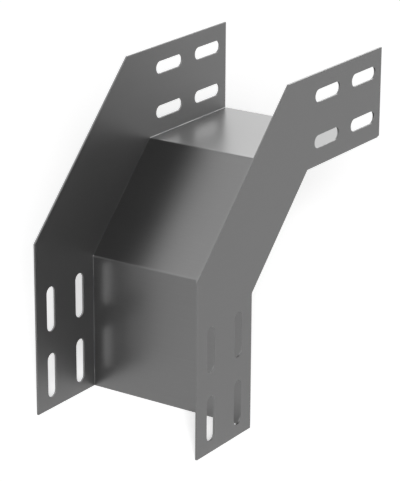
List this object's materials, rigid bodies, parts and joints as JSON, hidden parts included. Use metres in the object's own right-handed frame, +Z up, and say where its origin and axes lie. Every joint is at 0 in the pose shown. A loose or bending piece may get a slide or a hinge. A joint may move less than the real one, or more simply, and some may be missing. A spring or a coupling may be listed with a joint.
{
  "type": "vertical cable tray bend",
  "caption": "Outside vertical bend for a trough cable tray, turning an upright run level over a mitred base, with slotted side plates for couplings.",
  "frame": {"origin": "middle of the lower edge of the base sheet, at half its thickness, where the bend meets the upright run of tray", "axes": "+X across the tray to the right side plate, +Y along the level upper arm to its open end, +Z up along the lower arm"},
  "size_m": [0.102, 0.178, 0.178],
  "materials": {
    "sheet_steel": "fine satin, plain dark grey",
    "weld_metal": "as welded, brushed clean"
  },
  "bodies": {
    "root": {"base_sheet": "sheet_steel", "left_side_plate": "sheet_steel", "right_side_plate": "sheet_steel", "weld_left_lower_1": "weld_metal", "weld_left_lower_2": "weld_metal", "weld_left_incline_1": "weld_metal", "weld_left_incline_2": "weld_metal", "weld_left_upper_1": "weld_metal", "weld_left_upper_2": "weld_metal", "weld_right_lower_1": "weld_metal", "weld_right_lower_2": "weld_metal", "weld_right_incline_1": "weld_metal", "weld_right_incline_2": "weld_metal", "weld_right_upper_1": "weld_metal", "weld_right_upper_2": "weld_metal"}
  },
  "joints": []
}
